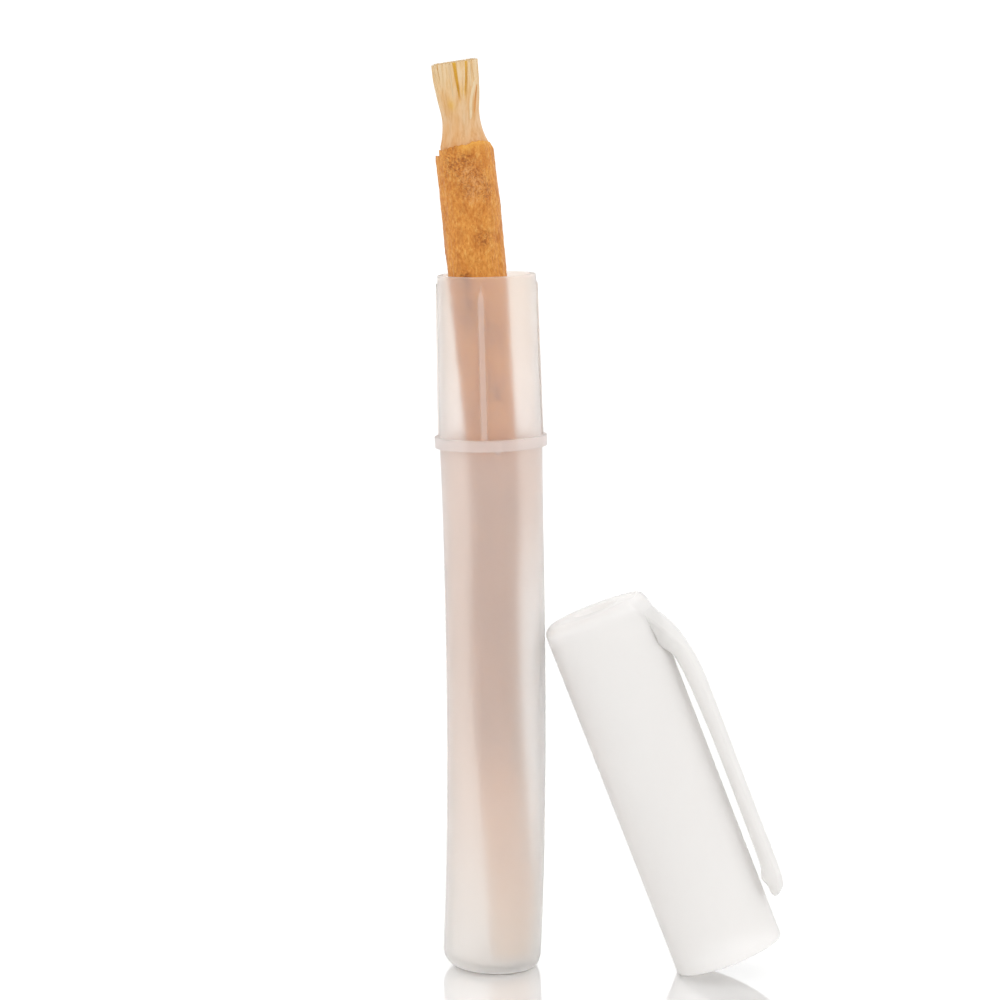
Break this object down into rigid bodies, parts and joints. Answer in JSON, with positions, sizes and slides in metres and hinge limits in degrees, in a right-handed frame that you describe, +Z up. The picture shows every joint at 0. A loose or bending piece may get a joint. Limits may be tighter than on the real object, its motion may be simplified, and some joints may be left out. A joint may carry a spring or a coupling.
{
  "type": "miswak stick in its travel case, with the cap off",
  "caption": "Miswak chewing stick with a peeled brush end, standing in a frosted plastic travel case, with the clip cap leaning against it.",
  "frame": {"origin": "middle of the case's flat underside, on the surface it stands on", "axes": "+Z up along the case, +X towards the leaning cap, +Y away from the viewer of the picture"},
  "size_m": [0.058, 0.0234, 0.151],
  "materials": {
    "bark": "rough, dry bark with a peeled cream brush end",
    "frosted_plastic": "translucent frosted polypropylene, faintly pink",
    "white_plastic": "milky satin polypropylene"
  },
  "bodies": {
    "root": {"miswak_stick": "bark", "case_tube": "frosted_plastic", "cap": "white_plastic"}
  },
  "joints": []
}
